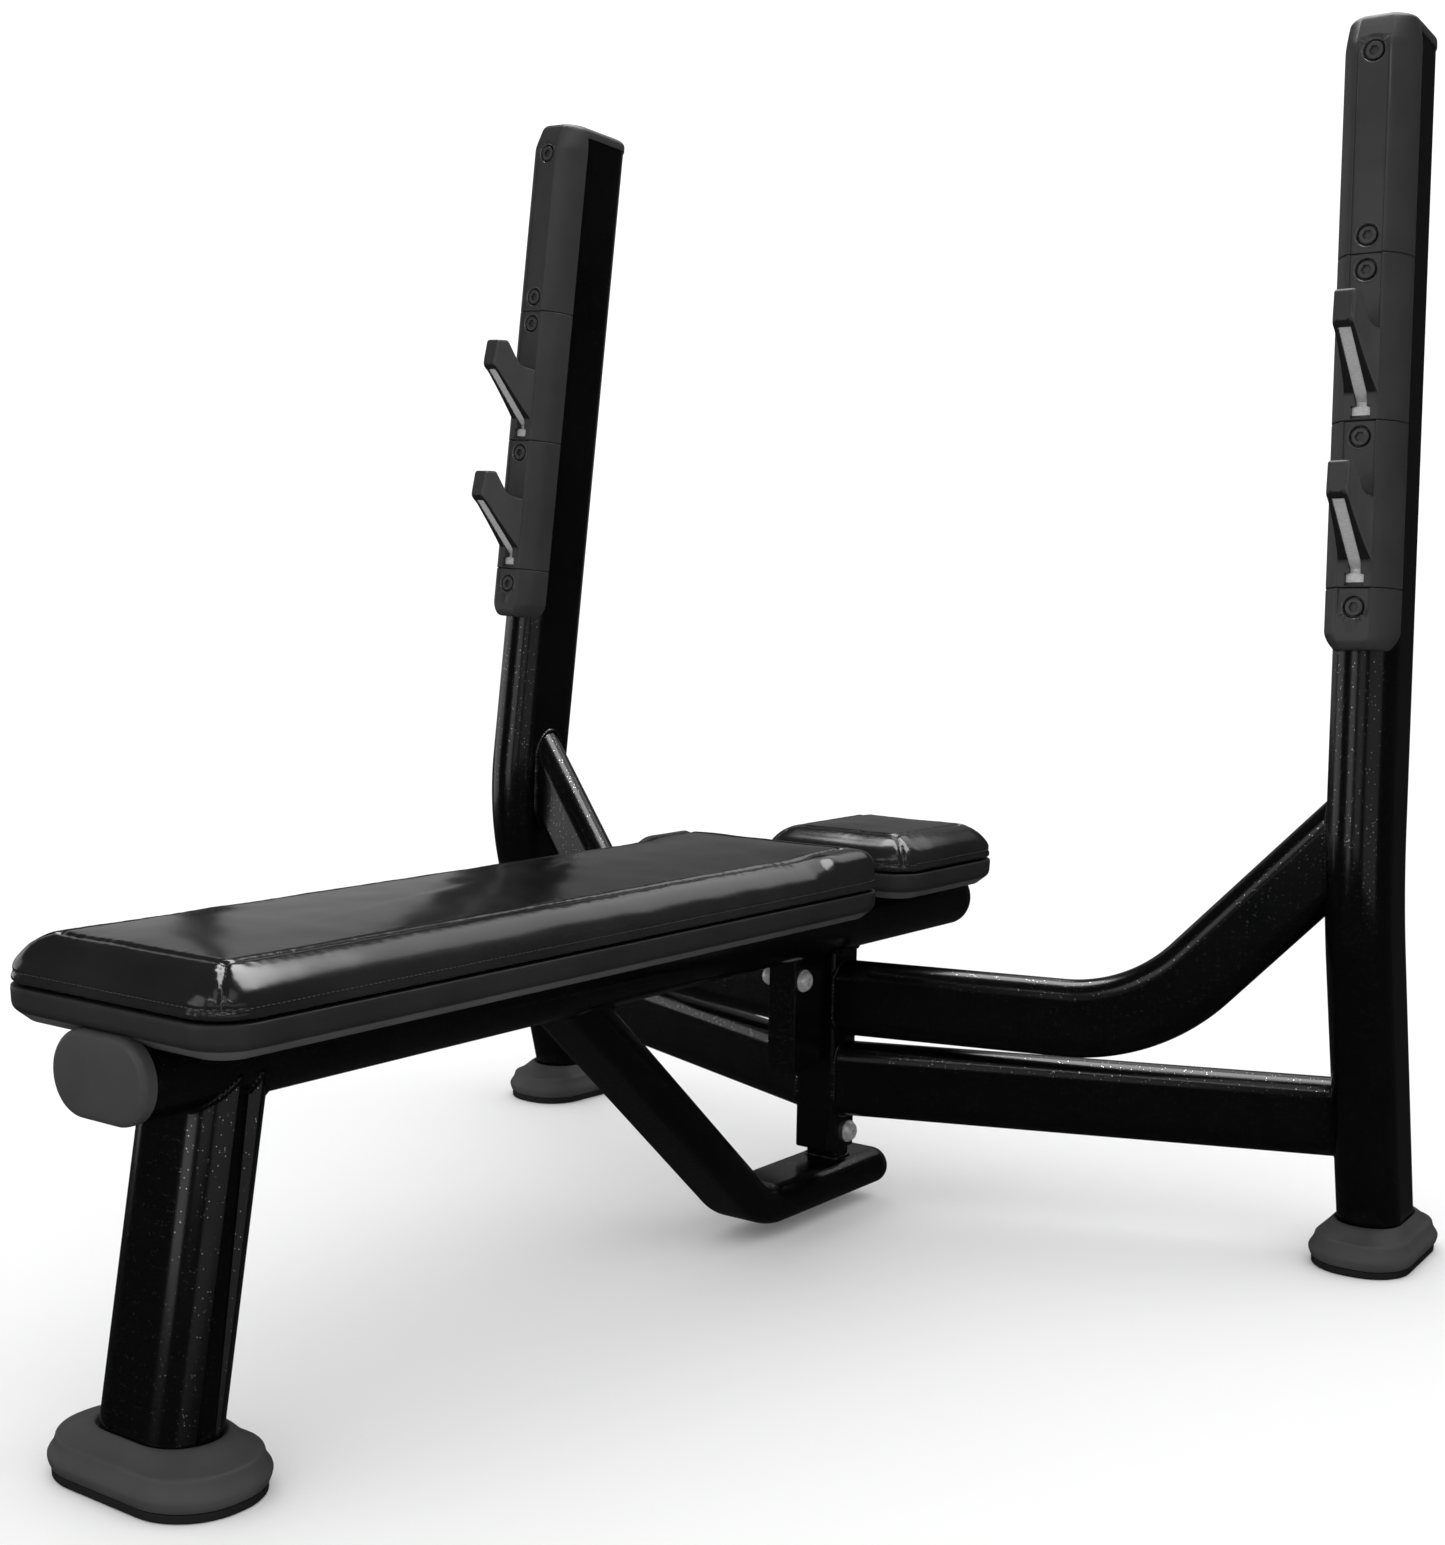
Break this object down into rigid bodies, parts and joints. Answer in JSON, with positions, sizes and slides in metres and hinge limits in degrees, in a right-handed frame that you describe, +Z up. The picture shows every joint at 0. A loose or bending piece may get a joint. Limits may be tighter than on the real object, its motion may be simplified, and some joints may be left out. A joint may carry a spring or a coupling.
{
  "type": "olympic bench press",
  "caption": "Flat weight bench fixed to a two-post rack with padded seat, head rest and pairs of bar hooks for bench pressing with an olympic bar.",
  "frame": {"origin": "on the floor, under the middle of the bench's bounding box", "axes": "+Z up; +Y along the bench from the foot end towards the rack; +X towards the right-hand post for someone who looks along +Y"},
  "size_m": [1.2484, 1.3402, 1.2961],
  "materials": {
    "frame_paint": "gloss black powder coat with a fine sparkle",
    "covers": "satin dark grey moulded plastic",
    "hook_plates": "satin bare steel",
    "screws": "black oxide socket screws",
    "beam_cap": "semi-gloss dark grey moulded plastic",
    "tube_plugs": "semi-gloss black moulded plastic",
    "boots": "matte grey moulded rubber",
    "base_pads": "matte black rubber",
    "vinyl": "semi-gloss black upholstery vinyl, stitched and welted",
    "pad_shells": "satin dark grey moulded shell",
    "bolts": "bright zinc-plated steel"
  },
  "bodies": {
    "root": {"back_pad": "vinyl", "back_pad_bolt_1": "bolts", "back_pad_bolt_2": "bolts", "back_pad_shell": "pad_shells", "base_pad_left": "base_pads", "base_pad_right": "base_pads", "beam_bracket": "frame_paint", "beam_front_cap": "beam_cap", "beam_rear_cap": "tube_plugs", "boot_left": "boots", "boot_right": "boots", "bottom_cover_left": "covers", "bottom_cover_right": "covers", "brace_end_cap": "tube_plugs", "brace_tongue": "frame_paint", "brace_tube": "frame_paint", "centre_post": "frame_paint", "cover_screw_left_1": "screws", "cover_screw_left_2": "screws", "cover_screw_left_3": "screws", "cover_screw_left_4": "screws", "cover_screw_left_5": "screws", "cover_screw_right_1": "screws", "cover_screw_right_2": "screws", "cover_screw_right_3": "screws", "cover_screw_right_4": "screws", "cover_screw_right_5": "screws", "front_base_pad": "base_pads", "front_boot": "boots", "front_leg": "frame_paint", "head_pad": "vinyl", "head_pad_bolt_1": "bolts", "head_pad_bolt_2": "bolts", "head_pad_shell": "pad_shells", "lower_arm_left": "frame_paint", "lower_arm_right": "frame_paint", "lower_column_bolt": "bolts", "lower_column_nut": "bolts", "lower_hook_cover_left": "covers", "lower_hook_cover_right": "covers", "lower_hook_plate_left": "hook_plates", "lower_hook_plate_right": "hook_plates", "post_lug": "frame_paint", "seat_beam": "frame_paint", "top_cover_left": "covers", "top_cover_right": "covers", "upper_arm_left": "frame_paint", "upper_arm_right": "frame_paint", "upper_column_bolt": "bolts", "upper_column_nut": "bolts", "upper_hook_cover_left": "covers", "upper_hook_cover_right": "covers", "upper_hook_plate_left": "hook_plates", "upper_hook_plate_right": "hook_plates", "upright_left": "frame_paint", "upright_right": "frame_paint"}
  },
  "joints": []
}
